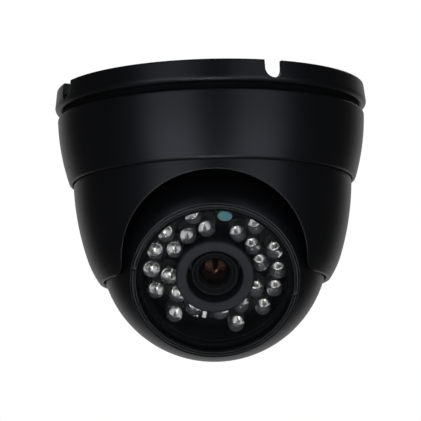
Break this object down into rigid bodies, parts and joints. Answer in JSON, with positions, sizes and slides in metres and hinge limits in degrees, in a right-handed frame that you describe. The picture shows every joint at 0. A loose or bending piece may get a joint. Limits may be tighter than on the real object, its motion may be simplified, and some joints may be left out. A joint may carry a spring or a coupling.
{
  "type": "dome cctv camera",
  "caption": "Ceiling-mount eyeball dome camera: a ball with a lens and infrared lamps turns in an arched shroud under a screwed lock collar.",
  "frame": {"origin": "centre of the base plate's mounting face", "axes": "+Z into the ceiling, -Y the side that the lens faces, +X to the right seen from the front"},
  "size_m": [0.096, 0.096, 0.0844],
  "materials": {
    "housing": "satin black paint on die-cast metal",
    "bezel": "satin black, turned",
    "rubber": "matt black rubber",
    "hood_rubber": "matt dark grey rubber",
    "black_plastic": "matt black moulded plastic",
    "white_plastic": "white moulded plastic",
    "window": "clear flat glass",
    "lamp_clear": "clear epoxy",
    "photocell": "teal resin face",
    "lens_black": "black anodised",
    "lens_glass": "coated optical glass",
    "filter_glass": "pale cyan coated glass",
    "sensor": "dark sensor package",
    "green_board": "green solder mask",
    "dark_board": "black solder mask",
    "chip": "black moulded package",
    "capacitor": "aluminium can",
    "brass": "brass",
    "steel": "plain steel"
  },
  "bodies": {
    "base": {"base_plate": "housing", "base_seal": "rubber"},
    "washer": {"slip_washer": "white_plastic"},
    "collar": {"lock_collar": "housing"},
    "shroud": {"dome_shroud": "housing", "pressure_ring": "black_plastic", "seat_liner": "rubber"},
    "gland": {"cable_gland": "rubber", "gland_nut": "steel"},
    "ball": {"ball_shell": "housing", "window_seal": "rubber", "lens_hood": "hood_rubber", "bezel_ring": "bezel", "window_glass": "window", "module_carrier": "black_plastic", "led_board": "dark_board", "led_board_parts": "steel", "led_connector": "white_plastic", "ir_leds_outer": "lamp_clear", "ir_leds_inner": "lamp_clear", "led_leads_outer": "steel", "led_leads_inner": "steel", "photocell": "photocell", "photocell_sleeve": "black_plastic", "lens_barrel": "lens_black", "lens_retainer": "lens_black", "lens_front_element": "lens_glass", "lens_rear_element": "lens_glass", "lens_lock_ring": "steel", "lens_mount": "black_plastic", "ir_cut_filter": "filter_glass", "image_sensor": "sensor", "sensor_board": "green_board", "sensor_board_parts": "chip", "board_spacers": "brass", "processor_board": "green_board", "processor_chips": "chip", "capacitors": "capacitor", "board_connectors": "white_plastic", "board_screws": "steel", "carrier_screws": "steel"}
  },
  "joints": [
    {"name": "collar_drop", "type": "slide", "parent": "base", "child": "washer", "axis": [0, 0, -1], "range_m": [0, 0.0061]},
    {"name": "collar_turn", "type": "hinge", "parent": "washer", "child": "collar", "pos_m": [0, 0, 0], "axis": [0, 0, -1], "range_deg": [0, 1440]},
    {"name": "pan", "type": "hinge", "parent": "base", "child": "shroud", "pos_m": [0, 0, -0.0494], "axis": [0, 0, 1], "range_deg": [-177, 177]},
    {"name": "tilt", "type": "hinge", "parent": "shroud", "child": "gland", "pos_m": [0, 0, -0.0494], "axis": [1, 0, 0], "range_deg": [-18, 57]},
    {"name": "roll", "type": "hinge", "parent": "gland", "child": "ball", "pos_m": [0, 0, -0.0494], "axis": [0, -0.8387, -0.5446], "range_deg": [-177, 177]}
  ],
  "couplings": [
    {"joint": "collar_drop", "follows": "collar_turn", "m_per_rad": 0.00023873}
  ]
}
